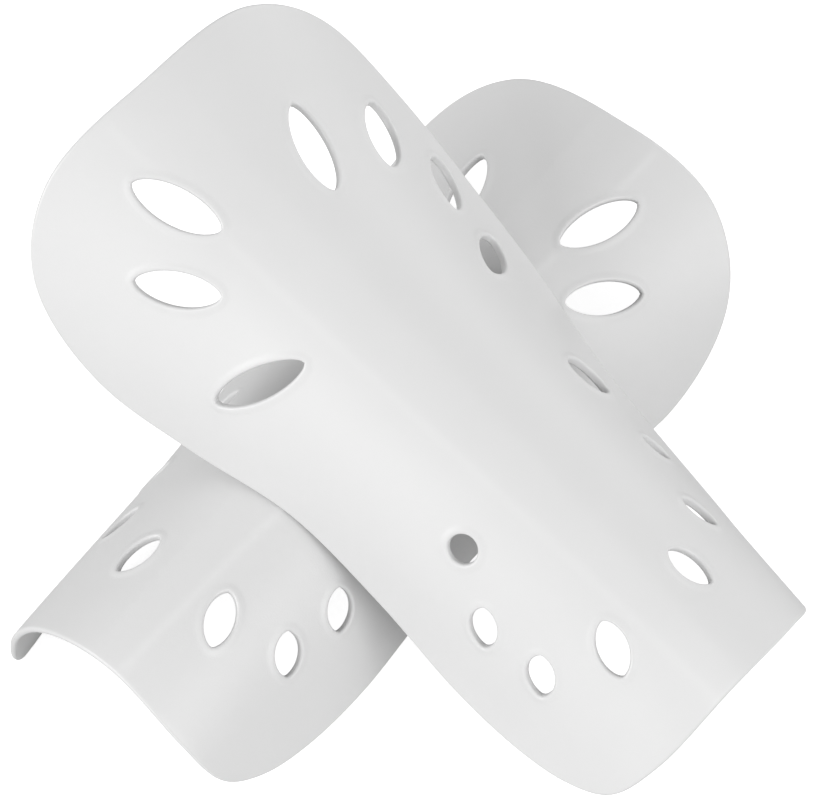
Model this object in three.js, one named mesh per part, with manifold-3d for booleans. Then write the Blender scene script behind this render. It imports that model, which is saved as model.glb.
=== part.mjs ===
// A pair of limb guards: two one-piece moulded half-tube shells with leaf-shaped vents, a left and
// a right one, stored crosswise. The lower guard stands on its edges, and the upper one lies across
// it with its narrow end down. Millimetres, +Z up, origin on the floor under the middle of the pair.
//
// Every guard is drawn as a flat pattern and then bent. A pattern point is (across, along): across
// is the arc length from the ridge line, negative on the near side, and along runs from the narrow
// end to the wide end.
import * as THREE from "three";
import { ParametricGeometry } from "three/addons/geometries/ParametricGeometry.js";
import { mergeGeometries, mergeVertices } from "three/addons/utils/BufferGeometryUtils.js";
import Module from "manifold-3d";

// ---- the shell ----
const WALL = 1.8;
const HALF_LENGTH = 96; // the stations are the narrow end, the middle and the wide end
const RIDGE_RISE = 5.8; // the wide end kicks up and the narrow end dips by this much
const RIDGE_TURN = { near: [3.34, 3.2, 1.73], far: [3.07, 2.71, 1.36] }; // radians per 100 mm
const SIDE_EASING = { near: [-5.0, -3.3, 0.0], far: [-2.3, -2.8, -0.1] }; // per (100 mm) cubed
// How far the flatter band reaches from the ridge line, at the narrow and wide ends.
const BAND_REACH = { near: [4.5, 12.5], far: [4.5, 6] };
const BAND_FLATNESS = 0.65; // the share of the turn that the band takes away at the ridge line

// The outline of the flat pattern, anticlockwise from the middle of the narrow end.
const NARROW_MIDDLE = [0, 0.8];
const FAR_SIDE = [
  [27, 0.3], [51, 0], [68.5, 4], [66.5, 22], [61.5, 46], [62.5, 73],
  [70, 100], [70.5, 129], [67.5, 156], [58.5, 178], [36.5, 191],
];
const WIDE_MIDDLE = [0, 192.3];
const NEAR_SIDE = [
  [-34, 191], [-56, 178], [-66.5, 155], [-63, 129], [-55, 101], [-56, 73],
  [-58.5, 46], [-56, 26], [-50.5, 12], [-42, 3], [-26, 0],
];
const OUTLINE = [NARROW_MIDDLE, ...FAR_SIDE, WIDE_MIDDLE, ...NEAR_SIDE];
// The outline points that act as the corners of the sheet.
const CORNERS = { narrowFar: 3, wideFar: 10, wideNear: 14, narrowNear: 21 };
const ACROSS_STEPS = 20;
const ALONG_STEPS = 24;

// ---- the vents: across, along, length, width, turn in degrees from across to along ----
const LEAF_POINT = 0.65; // 0.5 is a plain ellipse, 1 a sharp leaf
const ROUND_POINT = 0.5;
const LEAVES = [
  [-14, 166.6, 23, 8.7, 109],
  [-27.5, 153.9, 21.5, 8.1, 127],
  [-30.4, 125.9, 26.4, 7.5, 159],
  [21.2, 156.2, 23.3, 8.9, 68],
  [44.3, 149.9, 20.7, 9.8, 47],
  [55.6, 132.7, 18.6, 9, 46],
  [48.7, 111.9, 19, 8.6, 21],
  [40.9, 75, 13.9, 9.3, 131],
  [-34.5, 50.3, 10.6, 7.1, 35],
  [-32.2, 33.4, 10.6, 7.3, 38],
  [-13.9, 26.3, 13.2, 7.4, 65],
  [41.4, 52, 9.5, 5.2, 132],
  [31.6, 34.2, 10.5, 5, 118],
  [13.6, 27, 12.2, 6.4, 103],
];
const ROUND_HOLE = [-23, 66, 7.2, 7.2, 0];
const VENT_SIDES = 16;
const CUT_OUTSIDE = 3; // a cutter reaches this far past each face of the wall
const CUT_INSIDE = 3;

// ---- how the pair lies ----
const LOWER = { turn: [-5.4, -0.7, 0], centre: [-25.4, 1.1, 44.8] };
const UPPER = { turn: [18.8, -1, 85.4], centre: [2.9, -3.5, 79.5] };
const FLOOR_SLAB = 30; // what would lie below the floor is planed off the lower guard's edges

const wasm = await Module();
wasm.setup();

const plastic = () =>
  new THREE.MeshStandardMaterial({ color: 0xe9e9e9, roughness: 0.42, metalness: 0 });

// A value given at the narrow end, the middle and the wide end, at any station from -1 to 1.
function between([narrow, middle, wide], station) {
  const low = (narrow * station * (station - 1)) / 2;
  const high = (wide * station * (station + 1)) / 2;
  return low + middle * (1 - station * station) + high;
}

const stationOf = (along) => (along - HALF_LENGTH) / HALF_LENGTH;

// How far the surface has turned away from level at a pattern point, in radians.
function slope(across, along) {
  const station = stationOf(along);
  const side = across < 0 ? "near" : "far";
  const reach = across / 100;
  const band = THREE.MathUtils.mapLinear(station, -1, 1, ...BAND_REACH[side]);
  const flat = 1 - THREE.MathUtils.smoothstep(Math.abs(across), 0, band);
  const turn = between(RIDGE_TURN[side], station) * (1 - BAND_FLATNESS * flat);
  return turn * reach + between(SIDE_EASING[side], station) * reach ** 3;
}

// The bent surface's point above a pattern point, at a depth below the outer face.
function bend(across, along, depth, hand) {
  const steps = Math.max(4, Math.ceil(Math.abs(across)));
  const step = across / steps;
  let x = 0;
  let z = 0;
  for (let i = 0; i < steps; i++) {
    const angle = slope((i + 0.5) * step, along);
    x += Math.cos(angle) * step;
    z -= Math.sin(angle) * step;
  }
  const station = stationOf(along);
  const rise = RIDGE_RISE * station ** 3;
  const tilt = (3 * RIDGE_RISE * station ** 2) / HALF_LENGTH;
  const angle = slope(across, along);
  const normal = new THREE.Vector3(Math.sin(angle), -tilt, Math.cos(angle)).normalize();
  const point = new THREE.Vector3(x, along - HALF_LENGTH, z + rise).addScaledVector(normal, -depth);
  return point.setX(hand * point.x);
}

const outline = new THREE.CatmullRomCurve3(
  OUTLINE.map(([across, along]) => new THREE.Vector3(across, along, 0)),
  true,
);

// The outline from one of its points to another, as a function from 0..1 with even steps.
function stretch(from, to) {
  const fine = 400;
  const points = [];
  for (let i = 0; i <= fine; i++) {
    const index = from + ((to - from) * i) / fine;
    points.push(outline.getPoint((index / OUTLINE.length + 1) % 1));
  }
  const lengths = [0];
  for (let i = 1; i <= fine; i++) lengths.push(lengths[i - 1] + points[i].distanceTo(points[i - 1]));
  return (share) => {
    const wanted = share * lengths[fine];
    let i = 1;
    while (i < fine && lengths[i] < wanted) i++;
    const part = (wanted - lengths[i - 1]) / (lengths[i] - lengths[i - 1]);
    return new THREE.Vector3().lerpVectors(points[i - 1], points[i], part);
  };
}

const narrowEdge = stretch(CORNERS.narrowNear - OUTLINE.length, CORNERS.narrowFar);
const wideEdge = stretch(CORNERS.wideNear, CORNERS.wideFar);
const nearEdge = stretch(CORNERS.narrowNear, CORNERS.wideNear);
const farEdge = stretch(CORNERS.narrowFar, CORNERS.wideFar);

// The pattern point at (u, v) of the sheet between the four edges, u across and v along.
function patternAt(u, v) {
  const point = new THREE.Vector3();
  point.addScaledVector(narrowEdge(u), 1 - v).addScaledVector(wideEdge(u), v);
  point.addScaledVector(nearEdge(v), 1 - u).addScaledVector(farEdge(v), u);
  point.addScaledVector(narrowEdge(0), -(1 - u) * (1 - v)).addScaledVector(narrowEdge(1), -u * (1 - v));
  point.addScaledVector(wideEdge(0), -(1 - u) * v).addScaledVector(wideEdge(1), -u * v);
  return point;
}

// One side of the sheet as (u, v) from its step number, anticlockwise round all four edges.
function edgeAt(step) {
  const turns = [ACROSS_STEPS, ALONG_STEPS, ACROSS_STEPS, ALONG_STEPS];
  let left = step;
  let side = 0;
  while (side < 3 && left > turns[side]) left -= turns[side++];
  const share = left / turns[side];
  return [[share, 0], [1, share], [1 - share, 1], [0, 1 - share]][side];
}

// A closed geometry as a manifold solid.
function solidOf(geometry) {
  const bare = geometry.clone();
  bare.deleteAttribute("normal");
  bare.deleteAttribute("uv");
  const merged = mergeVertices(bare, 1e-3);
  return new wasm.Manifold(
    new wasm.Mesh({
      numProp: 3,
      vertProperties: merged.attributes.position.array,
      triVerts: new Uint32Array(merged.index.array),
    }),
  );
}

function geometryOf(solid) {
  const { vertProperties, triVerts } = solid.getMesh();
  const geometry = new THREE.BufferGeometry();
  geometry.setAttribute("position", new THREE.BufferAttribute(vertProperties, 3));
  geometry.setIndex(new THREE.BufferAttribute(triVerts, 1));
  geometry.computeVertexNormals();
  return geometry;
}

// The unpierced shell: outer sheet, inner sheet and the rim that joins them.
function shell(hand) {
  const place = (u, v, depth, target) => {
    const { x, y } = patternAt(u, v);
    target.copy(bend(x, y, depth, hand));
  };
  const facing = (u) => (hand > 0 ? u : 1 - u);
  const outer = (u, v, target) => place(facing(u), v, 0, target);
  const inner = (u, v, target) => place(facing(1 - u), v, WALL, target);
  const rimSteps = 2 * (ACROSS_STEPS + ALONG_STEPS);
  const rim = (t, w, target) => {
    const share = hand > 0 ? t : 1 - t;
    const [u, v] = edgeAt(Math.round(share * rimSteps));
    place(u, v, WALL * (1 - w), target);
  };
  return mergeGeometries([
    new ParametricGeometry(outer, ACROSS_STEPS, ALONG_STEPS),
    new ParametricGeometry(inner, ACROSS_STEPS, ALONG_STEPS),
    new ParametricGeometry(rim, rimSteps, 1),
  ]);
}

// The plug that cuts one vent: its outline bent with the surface, from outside to inside the wall.
function vent([across, along, length, width, turn, point], hand) {
  const direction = THREE.MathUtils.degToRad(turn);
  const layers = [-CUT_OUTSIDE, WALL + CUT_INSIDE];
  const contour = (t, w, target) => {
    const angle = (hand > 0 ? t : -t) * 2 * Math.PI;
    const reach = Math.cos(angle);
    const side = Math.sign(Math.sin(angle)) * (1 - reach * reach) ** point;
    const scale = w === 0 || w === 1 ? 0 : 1;
    const a = (scale * reach * length) / 2;
    const b = (scale * side * width) / 2;
    const s = across + a * Math.cos(direction) - b * Math.sin(direction);
    const y = along + a * Math.sin(direction) + b * Math.cos(direction);
    target.copy(bend(s, y, w < 0.5 ? layers[1] : layers[0], hand));
  };
  return new ParametricGeometry(contour, VENT_SIDES, 3);
}

function guardGeometry(hand, matrix) {
  let solid = solidOf(shell(hand));
  for (const leaf of LEAVES) solid = solid.subtract(solidOf(vent([...leaf, LEAF_POINT], hand)));
  solid = solid.subtract(solidOf(vent([...ROUND_HOLE, ROUND_POINT], hand)));
  const wide = 10 * HALF_LENGTH;
  const floor = new THREE.BoxGeometry(wide, wide, FLOOR_SLAB).translate(0, 0, -FLOOR_SLAB / 2);
  floor.applyMatrix4(matrix.clone().invert());
  return geometryOf(solid.subtract(solidOf(floor)));
}

function guard(name, hand, { turn, centre }) {
  const mesh = new THREE.Mesh(undefined, plastic());
  mesh.name = name;
  const [x, y, z] = turn.map(THREE.MathUtils.degToRad);
  mesh.rotation.set(x, y, z, "ZYX");
  mesh.position.set(...centre);
  mesh.updateMatrix();
  mesh.geometry = guardGeometry(hand, mesh.matrix);
  return mesh;
}

const pair = new THREE.Group();
pair.add(guard("guard_lower", -1, LOWER));
pair.add(guard("guard_upper", 1, UPPER));

export default pair;
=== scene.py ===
"""A pair of white vented limb guards lying crosswise: fine shells, plastic, floor, light and camera.

Each guard is drawn as a flat pattern and bent, as in the CAD model. A pattern point is (across, along)
in millimetres: across is the arc length from the ridge line, negative on the near side, and along runs
from the narrow end to the wide end. Everything is turned into metres when it becomes a mesh.
"""
import math

import bpy
import numpy as np
from mathutils import Euler, Matrix, Vector
from mathutils.geometry import delaunay_2d_cdt


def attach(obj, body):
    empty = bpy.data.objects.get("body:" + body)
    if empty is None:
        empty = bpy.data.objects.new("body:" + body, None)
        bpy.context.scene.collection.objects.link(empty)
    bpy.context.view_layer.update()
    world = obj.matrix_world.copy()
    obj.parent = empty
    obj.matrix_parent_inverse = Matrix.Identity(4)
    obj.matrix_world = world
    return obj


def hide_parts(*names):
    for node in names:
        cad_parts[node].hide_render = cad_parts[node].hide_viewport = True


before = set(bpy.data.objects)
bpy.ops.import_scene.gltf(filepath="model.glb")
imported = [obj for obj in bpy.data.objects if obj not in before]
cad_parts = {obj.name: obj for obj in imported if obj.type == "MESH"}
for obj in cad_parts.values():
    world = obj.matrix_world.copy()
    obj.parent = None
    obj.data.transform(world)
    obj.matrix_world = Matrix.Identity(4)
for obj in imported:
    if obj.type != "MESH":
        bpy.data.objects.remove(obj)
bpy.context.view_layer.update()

MM = 0.001

# ---- the shell, as in the CAD model; three values are for the narrow end, the middle and the wide end ----
WALL = 1.8
HALF_LENGTH = 96.0
RIDGE_RISE = 5.8  # the wide end kicks up and the narrow end dips by this much
RIDGE_TURN = {"near": (3.34, 3.2, 1.73), "far": (3.07, 2.71, 1.36)}  # radians per REACH_UNIT
SIDE_EASING = {"near": (-5.0, -3.3, 0.0), "far": (-2.3, -2.8, -0.1)}  # radians per REACH_UNIT cubed
REACH_UNIT = 100  # millimetres from the ridge line
# how far the flatter band reaches from the ridge line, at the narrow and wide ends
BAND_REACH = {"near": (4.5, 12.5), "far": (4.5, 6.0)}
BAND_FLATNESS = 0.65  # the share of the turn that the band takes away at the ridge line
# the outline of the flat pattern, anticlockwise from the middle of the narrow end
OUTLINE = [
    (0, 0.8), (27, 0.3), (51, 0), (68.5, 4), (66.5, 22), (61.5, 46), (62.5, 73), (70, 100), (70.5, 129),
    (67.5, 156), (58.5, 178), (36.5, 191), (0, 192.3), (-34, 191), (-56, 178), (-66.5, 155), (-63, 129),
    (-55, 101), (-56, 73), (-58.5, 46), (-56, 26), (-50.5, 12), (-42, 3), (-26, 0),
]
# across, along, length, width, turn in degrees from across to along
LEAVES = [
    (-14, 166.6, 23, 8.7, 109), (-27.5, 153.9, 21.5, 8.1, 127), (-30.4, 125.9, 26.4, 7.5, 159),
    (21.2, 156.2, 23.3, 8.9, 68), (44.3, 149.9, 20.7, 9.8, 47), (55.6, 132.7, 18.6, 9, 46),
    (48.7, 111.9, 19, 8.6, 21), (40.9, 75, 13.9, 9.3, 131),
    (-34.5, 50.3, 10.6, 7.1, 35), (-32.2, 33.4, 10.6, 7.3, 38), (-13.9, 26.3, 13.2, 7.4, 65),
    (41.4, 52, 9.5, 5.2, 132), (31.6, 34.2, 10.5, 5, 118), (13.6, 27, 12.2, 6.4, 103),
]
ROUND_HOLE = (-23, 66, 7.2, 7.2, 0)
LEAF_POINT = 0.65  # 0.5 is a plain ellipse, 1 a sharp leaf
ROUND_POINT = 0.5

# ---- how the pair lies ----
# hand -1 is the mirror image, turn is in degrees about X, Y and Z, and crispness is the share of the
# crease height, and of the painted crease highlight, that the guard shows
POSE = {
    "guard_lower": {"hand": -1, "turn": (-5.4, -0.7, 0), "centre": (-25.4, 1.1, 44.8), "crispness": 1.0},
    "guard_upper": {"hand": 1, "turn": (18.8, -1, 85.4), "centre": (2.9, -3.5, 79.5), "crispness": 0.45},
}

# ---- the fine mesh ----
SLOPE_SAMPLES = 24  # for adding up the slope from the ridge line to a point
OUTLINE_SAMPLES = 40  # between two outline points
VENT_SAMPLES = 720  # round a vent, before it is stepped evenly
RIM_STEP = 1.4  # between points along the rim
VENT_POINTS = 56  # round each vent
GRID_STEP = 2.0  # between points away from the edges
GRID_CLEAR = {"rim": 0.7, "vent": 0.6}  # the room left beside an edge's rings, in grid steps
SAME_POINT = 1e-6  # points closer than this count as one
# the wall's edges: the radius of each rounding, and the low lip raised round each vent
RIM_ROUND = 0.8
VENT_ROUND = 0.7
INNER_ROUND = 0.6
LIP_HEIGHT = 0.26
LIP_WIDTH = 2.4
LIP_STEPS = 4
ROUND_STEPS = 5
MARGIN = 2.8  # how far an edge's rings reach into the sheet
# the fine raised line where the flatter band along the ridge turns into each side
CREASE_HEIGHT = {"near": 0.15, "far": 0.06}
CREASE_WIDTH = 2.2
CREASE_ROWS = (-2.4, -1.8, -1.2, -0.6, 0.0, 0.6, 1.2, 1.8, 2.4)  # points across it
CREASE_STEP = 1.3  # between points along it
CREASE_GAP = 3.0  # the plain grid stays this far away from it

# ---- the plastic: tones are grey levels, noise scales are in features per metre, depths in metres ----
PLASTIC_TONE = (0.65, 0.69)
# painted highlight: the near crease's base colour is lightened towards this tone, standing in for the light
# line that light draws along the ridge
CREASE_HIGHLIGHT_TONE = 0.77
CREASE_HIGHLIGHT_SHARE = 0.24  # how much of the painted highlight tone the crease shows
ROUGHNESS = (0.36, 0.5)
EDGE_POLISH = 0.08  # the roughness that an edge loses
CLOUD_SCALE = 22.0  # flow marks in the tone
SMEAR_SCALE = 90.0  # patches of more and less gloss
GRAIN_SCALE = 2600.0
GRAIN_DEPTH = 0.0002
GRAIN_STRENGTH = 0.12
WAVE_SCALE = 60.0
WAVE_DEPTH = 0.0004
WAVE_STRENGTH = 0.25
PLASTIC_IOR = 1.49
PLASTIC_SPECULAR = 0.45

# ---- the stage, in metres and watts ----
FLOOR_HALF = 3.0
FLOOR_TONE = 0.6
FLOOR_ROUGHNESS = (0.6, 0.75)
FLOOR_SCALE = 30.0
FLOOR_GLOW = 0.76  # only as the camera sees it, so the floor reads white and doesn't light the guards
WORLD_LIGHT = 0.5
WORLD_SEEN = 1.0  # what the camera sees of the world
LIGHT_DISTANCE = 2.0
LIGHT_SIZE = 1.2
LIGHTS = [
    ("front_light", (-0.42, -0.73, 0.53), 26.5),
    ("right_light", (0.85, 0.0, 0.53), 20.0),
    ("back_light", (0.0, 0.95, 0.31), 10.0),
]
# the camera's own axes in the row frame, its place, and its focal length over its sensor's width
CAMERA_RIGHT = Vector((0.764, 0.639, -0.092))
CAMERA_UP = Vector((-0.528, 0.700, 0.480))
CAMERA_BACK = Vector((0.372, -0.318, 0.872))
CAMERA_AT = Vector((0.2514, -0.2254, 0.6695))
FOCAL_TO_WIDTH = 3.663
NEAREST_SEEN = 0.01


def between(values, station):
    """A value given at the narrow end, the middle and the wide end, at any station from -1 to 1."""
    narrow, middle, wide = values
    low = narrow * station * (station - 1) / 2
    high = wide * station * (station + 1) / 2
    return low + middle * (1 - station * station) + high


def station_of(along):
    return (along - HALF_LENGTH) / HALF_LENGTH


def smooth(share):
    return share * share * (3 - 2 * share)


def slope(across, along):
    """How far the surface has turned from level at a pattern point, in radians."""
    station = station_of(along)
    near = across < 0
    turn = np.where(near, between(RIDGE_TURN["near"], station), between(RIDGE_TURN["far"], station))
    easing = np.where(near, between(SIDE_EASING["near"], station), between(SIDE_EASING["far"], station))
    narrow, wide = (np.where(near, *pair) for pair in zip(BAND_REACH["near"], BAND_REACH["far"]))
    band = narrow + (wide - narrow) * (station + 1) / 2
    flat = 1 - smooth(np.clip(np.abs(across) / band, 0, 1))
    reach = across / REACH_UNIT
    return turn * (1 - BAND_FLATNESS * flat) * reach + easing * reach**3


# where the slope is sampled on the way from the ridge line, from -1 to 1, and each sample's weight
GAUSS_AT, GAUSS_WEIGHT = np.polynomial.legendre.leggauss(SLOPE_SAMPLES)


def bend(pattern, depth):
    """Points of the bent surface above pattern points, at a depth below the outer face, in millimetres."""
    across, along = pattern[:, 0], pattern[:, 1]
    half = across / 2
    x = np.zeros(len(pattern))
    z = np.zeros(len(pattern))
    for at, weight in zip(GAUSS_AT, GAUSS_WEIGHT):
        angle = slope(half * (1 + at), along)
        x += weight * half * np.cos(angle)
        z -= weight * half * np.sin(angle)
    station = station_of(along)
    points = np.stack([x, along - HALF_LENGTH, z + RIDGE_RISE * station**3], 1)
    angle = slope(across, along)
    tilt = 3 * RIDGE_RISE * station**2 / HALF_LENGTH
    normal = np.stack([np.sin(angle), -tilt, np.cos(angle)], 1)
    normal /= np.linalg.norm(normal, axis=1)[:, None]
    return points - normal * np.reshape(depth, (-1, 1))


def crease_at(side, along):
    """Where a crease runs: its across value at each along value."""
    narrow, wide = BAND_REACH[side]
    reach = narrow + (wide - narrow) * np.asarray(along) / (2 * HALF_LENGTH)
    return -reach if side == "near" else reach


def crease_share(side, pattern):
    """One on the crease, falling smoothly to nothing beside it."""
    away = np.abs(pattern[:, 0] - crease_at(side, pattern[:, 1])) / CREASE_WIDTH
    return smooth(np.clip(1 - away, 0, 1))


def smooth_outline():
    """The closed outline as even steps: a centripetal Catmull-Rom curve through its points."""
    points = np.array(OUTLINE, float)
    curve = []
    for i in range(len(points)):
        p0, p1, p2, p3 = (points[(i + k) % len(points)] for k in (-1, 0, 1, 2))
        d0, d1, d2 = (math.sqrt(np.linalg.norm(a - b)) for a, b in ((p0, p1), (p1, p2), (p2, p3)))
        t1 = ((p1 - p0) / d0 - (p2 - p0) / (d0 + d1) + (p2 - p1) / d1) * d1
        t2 = ((p2 - p1) / d1 - (p3 - p1) / (d1 + d2) + (p3 - p2) / d2) * d1
        for k in range(OUTLINE_SAMPLES):
            w = k / OUTLINE_SAMPLES
            square = 3 * (p2 - p1) - 2 * t1 - t2
            cube = 2 * (p1 - p2) + t1 + t2
            curve.append(p1 + t1 * w + square * w**2 + cube * w**3)
    return even(np.array(curve), RIM_STEP)


def even(loop, step):
    """A closed loop sampled again at even steps."""
    closed = np.vstack([loop, loop[:1]])
    length = np.concatenate([[0], np.cumsum(np.linalg.norm(np.diff(closed, axis=0), axis=1))])
    at = np.linspace(0, length[-1], round(length[-1] / step), endpoint=False)
    return np.stack([np.interp(at, length, closed[:, k]) for k in (0, 1)], 1)


def outward(loop):
    """Unit normals of an anticlockwise loop, pointing out of it."""
    tangent = np.roll(loop, -1, 0) - np.roll(loop, 1, 0)
    tangent /= np.linalg.norm(tangent, axis=1)[:, None]
    return np.stack([tangent[:, 1], -tangent[:, 0]], 1)


def vent_loop(vent, point):
    """A vent's edge in the pattern, anticlockwise: a leaf with slightly rounded tips, or a circle."""
    across, along, length, width, turn = vent
    angle = np.linspace(0, 2 * math.pi, VENT_SAMPLES, endpoint=False)
    reach = np.cos(angle)
    side = np.sign(np.sin(angle)) * (1 - reach**2) ** point
    a, b = reach * length / 2, side * width / 2
    c, s = math.cos(math.radians(turn)), math.sin(math.radians(turn))
    loop = np.stack([across + a * c - b * s, along + a * s + b * c], 1)
    total = np.linalg.norm(np.diff(np.vstack([loop, loop[:1]]), axis=0), axis=1).sum()
    return even(loop, total / VENT_POINTS)


def edge_profile(radius, lip_height, lip_width):
    """(distance from the edge, depth) round the wall's edge, from the outer sheet to the inner one."""
    profile = []
    for k in range(LIP_STEPS):
        distance = MARGIN + (radius - MARGIN) * k / LIP_STEPS
        share = min(1, max(0, (lip_width - distance) / (lip_width - radius)))
        profile.append((distance, -lip_height * (1 - math.cos(math.pi * share)) / 2))
    quarter = [math.pi / 2 * k / ROUND_STEPS for k in range(ROUND_STEPS + 1)]
    for angle in quarter:
        depth = -lip_height + radius * (1 - math.cos(angle))
        profile.append((radius * (1 - math.sin(angle)), depth))
    for angle in quarter:
        depth = WALL - INNER_ROUND * (1 - math.sin(angle))
        profile.append((INNER_ROUND * (1 - math.cos(angle)), depth))
    profile.append(((MARGIN + INNER_ROUND) / 2, WALL))
    profile.append((MARGIN, WALL))
    return profile


def inside(points, loop):
    """Which points lie inside a closed loop, by counting crossings."""
    hits = np.zeros(len(points), bool)
    x, y = points[:, 0], points[:, 1]
    for (x0, y0), (x1, y1) in zip(loop, np.roll(loop, -1, 0)):
        crosses = (y0 > y) != (y1 > y)
        if y0 != y1:
            hits ^= crosses & (x < (x1 - x0) * (y - y0) / (y1 - y0) + x0)
    return hits


def clear_of(points, loop, gap):
    """Which points are at least a gap away from every point of a loop."""
    keep = np.ones(len(points), bool)
    for p in loop:
        keep &= (points[:, 0] - p[0]) ** 2 + (points[:, 1] - p[1]) ** 2 > gap * gap
    return keep


class Sheet:
    """The vertices and faces of one guard in the pattern: each vertex is (across, along, depth).

    edge holds a value for each vertex: one at an edge of the wall, falling to nothing MARGIN away.
    """

    def __init__(self):
        self.vertices = []
        self.faces = []
        self.edge = []

    def loop(self, points, depth, edge):
        """Adds pattern points at one depth and returns their numbers."""
        first = len(self.vertices)
        self.vertices.extend((x, y, depth) for x, y in points)
        self.edge.extend([edge] * len(points))
        return list(range(first, first + len(points)))

    def strip(self, a, b):
        """Quads between two loops of the same count."""
        n = len(a)
        for i in range(n):
            self.faces.append((a[i], a[(i + 1) % n], b[(i + 1) % n], b[i]))


def edge_rings(sheet, rim, vents):
    """Adds the rings round every edge and returns the loops where they meet the outer and inner sheets."""
    edges = [(rim, -1, edge_profile(RIM_ROUND, 0, MARGIN))]
    edges += [(v, 1, edge_profile(VENT_ROUND, LIP_HEIGHT, LIP_WIDTH)) for v in vents]
    outer_loops, inner_loops = [], []
    for loop, way, profile in edges:
        normals = outward(loop)
        rings = []
        for distance, depth in profile:
            edge = max(0.0, 1 - distance / MARGIN)
            rings.append(sheet.loop(loop + normals * distance * way, depth, edge))
        for a, b in zip(rings, rings[1:]):
            sheet.strip(*((b, a) if way < 0 else (a, b)))
        outer_loops.append(rings[0])
        inner_loops.append(rings[-1])
    return outer_loops, inner_loops


def infill_points(rim, border):
    """Points inside the border loops: a triangular grid, with straight rows along the creases instead."""
    low, high = rim.min(0), rim.max(0)
    rows = []
    for j, y in enumerate(np.arange(low[1], high[1], GRID_STEP * math.sqrt(3) / 2)):
        shift = GRID_STEP / 2 * (j % 2)
        rows.extend((x, y) for x in np.arange(low[0] + shift, high[0], GRID_STEP))
    grid = np.array(rows)
    for side in CREASE_HEIGHT:
        grid = grid[np.abs(grid[:, 0] - crease_at(side, grid[:, 1])) > CREASE_GAP]
    steps = np.arange(low[1], high[1], CREASE_STEP)
    for side in CREASE_HEIGHT:
        lines = [np.stack([crease_at(side, steps) + row, steps], 1) for row in CREASE_ROWS]
        grid = np.vstack([grid] + lines)
    keep = inside(grid, border[0]) & clear_of(grid, border[0], GRID_STEP * GRID_CLEAR["rim"])
    for loop in border[1:]:
        keep &= ~inside(grid, loop) & clear_of(grid, loop, GRID_STEP * GRID_CLEAR["vent"])
    return grid[keep]


def infill_triangles(border, grid):
    """Triangles between the border loops, as indices into the border points and then the grid points."""
    fixed = np.vstack(border + [grid])
    constraints, first = [], 0
    for loop in border:
        n = len(loop)
        constraints.extend((first + i, first + (i + 1) % n) for i in range(n))
        first += n
    made = delaunay_2d_cdt([Vector(p) for p in fixed], constraints, [], 0, SAME_POINT, True)
    triangles = np.array([f for f in made[2] if len(f) == 3])
    index = np.array([o[0] for o in made[3]])
    triangles = index[triangles]
    centres = np.array([fixed[t].mean(0) for t in triangles])
    keep = inside(centres, border[0])
    for loop in border[1:]:
        keep &= ~inside(centres, loop)
    return triangles[keep]


def guard_sheet():
    """The whole guard in the pattern: the rings round every edge, then the outer and inner sheets."""
    sheet = Sheet()
    rim = smooth_outline()
    vents = [vent_loop(v, LEAF_POINT) for v in LEAVES] + [vent_loop(ROUND_HOLE, ROUND_POINT)]
    outer_loops, inner_loops = edge_rings(sheet, rim, vents)
    flat = np.array(sheet.vertices)[:, :2]
    border = [flat[loop] for loop in outer_loops]
    grid = infill_points(rim, border)
    triangles = infill_triangles(border, grid)
    for loops, depth in ((outer_loops, 0.0), (inner_loops, WALL)):
        ids = [i for loop in loops for i in loop] + sheet.loop(grid, depth, 0.0)
        for t in triangles:
            a, b, c = (ids[k] for k in t)
            sheet.faces.append((a, b, c) if depth == 0 else (c, b, a))
    return sheet


def guard_mesh(name, sheet, hand, turn, centre, crispness):
    """One guard as a mesh in the row frame: crispness is the share of the crease height, and of the painted
    crease highlight, that it shows.
    """
    data = np.array(sheet.vertices)
    edge = np.array(sheet.edge)
    outer = (data[:, 2] <= 0) * (1 - edge) * crispness
    creases = {side: crease_share(side, data) * outer for side in CREASE_HEIGHT}
    lift = sum(CREASE_HEIGHT[side] * share for side, share in creases.items())
    points = bend(data[:, :2], data[:, 2] - lift)
    points[:, 0] *= hand
    rotation = Euler([math.radians(a) for a in turn], "XYZ").to_matrix()
    points = points @ np.array(rotation).T + np.array(centre)
    points[:, 2] = np.maximum(points[:, 2], 0)  # its edges are planed where they rest on the floor
    faces = sheet.faces if hand > 0 else [tuple(reversed(f)) for f in sheet.faces]
    mesh = bpy.data.meshes.new(name)
    mesh.from_pydata((points * MM).tolist(), [], faces)
    # the crease attribute holds the near crease's share, which the plastic turns into a painted highlight
    for key, values in (("edge", edge), ("crease", creases["near"])):
        attribute = mesh.attributes.new(key, "FLOAT", "POINT")
        attribute.data.foreach_set("value", values.astype(np.float32))
    mesh.shade_smooth()
    mesh.update()
    obj = bpy.data.objects.new(name, mesh)
    bpy.context.scene.collection.objects.link(obj)
    return obj


# ---- materials ----
class Nodes:
    """A material's node tree, with short calls to add and join nodes."""

    def __init__(self, name):
        self.material = bpy.data.materials.new(name)
        self.material.use_nodes = True
        self.tree = self.material.node_tree
        self.shader = self.tree.nodes["Principled BSDF"]

    def add(self, kind, **inputs):
        node = self.tree.nodes.new(kind)
        for key, value in inputs.items():
            node.inputs[key.replace("_", " ")].default_value = value
        return node

    def join(self, source, target):
        self.tree.links.new(source, target)


def noise(nodes, where, scale, detail=3.0, roughness=0.5):
    """A cloudy value from 0 to 1 at each point of the object."""
    node = nodes.add("ShaderNodeTexNoise", Scale=scale, Detail=detail, Roughness=roughness)
    nodes.join(where, node.inputs["Vector"])
    return node.outputs["Fac"]


def remap(nodes, value, low, high):
    """Spreads a value from 0..1 over low..high."""
    node = nodes.add("ShaderNodeMapRange", To_Min=low, To_Max=high)
    nodes.join(value, node.inputs["Value"])
    return node.outputs["Result"]


def grey(level):
    return (level, level, level, 1)


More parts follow.
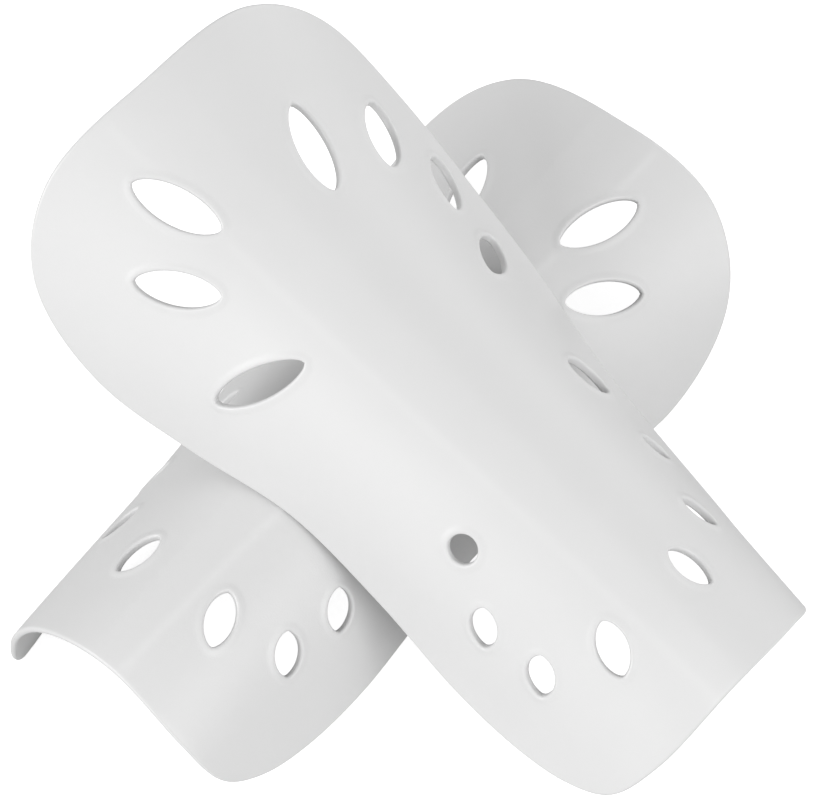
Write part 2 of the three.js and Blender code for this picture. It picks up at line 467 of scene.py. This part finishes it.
def shell_plastic():
    """White satin moulded plastic: faint flow marks, a fine moulded grain, slightly polished edges and a
    painted highlight along the near crease.
    """
    nodes = Nodes("white_satin_plastic")
    where = nodes.tree.nodes.new("ShaderNodeTexCoord").outputs["Object"]
    clouds = noise(nodes, where, CLOUD_SCALE, detail=4.0, roughness=0.55)
    tone = nodes.tree.nodes.new("ShaderNodeMix")
    tone.data_type = "RGBA"
    tone.inputs["A"].default_value = grey(PLASTIC_TONE[0])
    tone.inputs["B"].default_value = grey(PLASTIC_TONE[1])
    nodes.join(clouds, tone.inputs["Factor"])
    # painted highlight: the base colour is lightened along the near crease, standing in for the light line
    # that light draws on the ridge
    crease = nodes.add("ShaderNodeAttribute")
    crease.attribute_name = "crease"
    painted_crease_highlight = nodes.tree.nodes.new("ShaderNodeMix")
    painted_crease_highlight.data_type = "RGBA"
    nodes.join(remap(nodes, crease.outputs["Fac"], 0.0, CREASE_HIGHLIGHT_SHARE), painted_crease_highlight.inputs["Factor"])
    nodes.join(tone.outputs["Result"], painted_crease_highlight.inputs["A"])
    painted_crease_highlight.inputs["B"].default_value = grey(CREASE_HIGHLIGHT_TONE)
    nodes.join(painted_crease_highlight.outputs["Result"], nodes.shader.inputs["Base Color"])
    edge = nodes.add("ShaderNodeAttribute")
    edge.attribute_name = "edge"
    smears = noise(nodes, where, SMEAR_SCALE, detail=5.0, roughness=0.6)
    rough = nodes.add("ShaderNodeMath")
    rough.operation = "SUBTRACT"
    nodes.join(remap(nodes, smears, *ROUGHNESS), rough.inputs[0])
    nodes.join(remap(nodes, edge.outputs["Fac"], 0.0, EDGE_POLISH), rough.inputs[1])
    nodes.join(rough.outputs["Value"], nodes.shader.inputs["Roughness"])
    grain = nodes.add("ShaderNodeBump", Strength=GRAIN_STRENGTH, Distance=GRAIN_DEPTH)
    nodes.join(noise(nodes, where, GRAIN_SCALE, detail=2.0), grain.inputs["Height"])
    waves = nodes.add("ShaderNodeBump", Strength=WAVE_STRENGTH, Distance=WAVE_DEPTH)
    nodes.join(noise(nodes, where, WAVE_SCALE, detail=2.0), waves.inputs["Height"])
    nodes.join(grain.outputs["Normal"], waves.inputs["Normal"])
    nodes.join(waves.outputs["Normal"], nodes.shader.inputs["Normal"])
    nodes.shader.inputs["IOR"].default_value = PLASTIC_IOR
    nodes.shader.inputs["Specular IOR Level"].default_value = PLASTIC_SPECULAR
    return nodes.material


def floor_material():
    """A plain pale floor that looks white: its glow reaches the camera only."""
    nodes = Nodes("pale_floor")
    where = nodes.tree.nodes.new("ShaderNodeTexCoord").outputs["Object"]
    patches = noise(nodes, where, FLOOR_SCALE)
    nodes.join(remap(nodes, patches, *FLOOR_ROUGHNESS), nodes.shader.inputs["Roughness"])
    nodes.shader.inputs["Base Color"].default_value = grey(FLOOR_TONE)
    nodes.shader.inputs["Emission Color"].default_value = grey(1)
    seen = nodes.tree.nodes.new("ShaderNodeLightPath").outputs["Is Camera Ray"]
    nodes.join(remap(nodes, seen, 0.0, FLOOR_GLOW), nodes.shader.inputs["Emission Strength"])
    return nodes.material


# ---- the stage: floor, light and camera ----
def stage_floor():
    half = FLOOR_HALF
    corners = [(-half, -half, 0), (half, -half, 0), (half, half, 0), (-half, half, 0)]
    mesh = bpy.data.meshes.new("floor")
    mesh.from_pydata(corners, [], [(0, 1, 2, 3)])
    floor = bpy.data.objects.new("floor", mesh)
    bpy.context.scene.collection.objects.link(floor)
    mesh.materials.append(floor_material())


def area_light(name, direction, watts):
    data = bpy.data.lights.new(name, "AREA")
    data.size = LIGHT_SIZE
    data.energy = watts
    light = bpy.data.objects.new(name, data)
    way = Vector(direction).normalized()
    light.location = way * LIGHT_DISTANCE
    light.rotation_euler = way.to_track_quat("Z", "Y").to_euler()
    bpy.context.scene.collection.objects.link(light)


def stage_light():
    world = bpy.data.worlds.new("studio")
    bpy.context.scene.world = world
    world.use_nodes = True
    background = world.node_tree.nodes["Background"]
    background.inputs["Color"].default_value = grey(1)
    seen = world.node_tree.nodes.new("ShaderNodeLightPath").outputs["Is Camera Ray"]
    strength = world.node_tree.nodes.new("ShaderNodeMapRange")
    strength.inputs["To Min"].default_value = WORLD_LIGHT
    strength.inputs["To Max"].default_value = WORLD_SEEN
    world.node_tree.links.new(seen, strength.inputs["Value"])
    world.node_tree.links.new(strength.outputs["Result"], background.inputs["Strength"])
    for name, direction, watts in LIGHTS:
        area_light(name, direction, watts)
    bpy.context.scene.view_settings.view_transform = "Standard"


def stage_camera():
    data = bpy.data.cameras.new("camera")
    data.sensor_fit = "HORIZONTAL"
    data.lens = data.sensor_width * FOCAL_TO_WIDTH
    data.clip_start = NEAREST_SEEN
    camera = bpy.data.objects.new("camera", data)
    bpy.context.scene.collection.objects.link(camera)
    axes = Matrix((CAMERA_RIGHT, CAMERA_UP, CAMERA_BACK)).transposed()
    camera.matrix_world = Matrix.Translation(CAMERA_AT) @ axes.to_4x4()
    bpy.context.scene.camera = camera


stage_floor()
stage_light()
stage_camera()

plastic = shell_plastic()
pattern = guard_sheet()
for node, place in POSE.items():
    shell = guard_mesh(node + "_shell", pattern, **place)
    shell.data.materials.append(plastic)
    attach(shell, node)
    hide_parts(node)
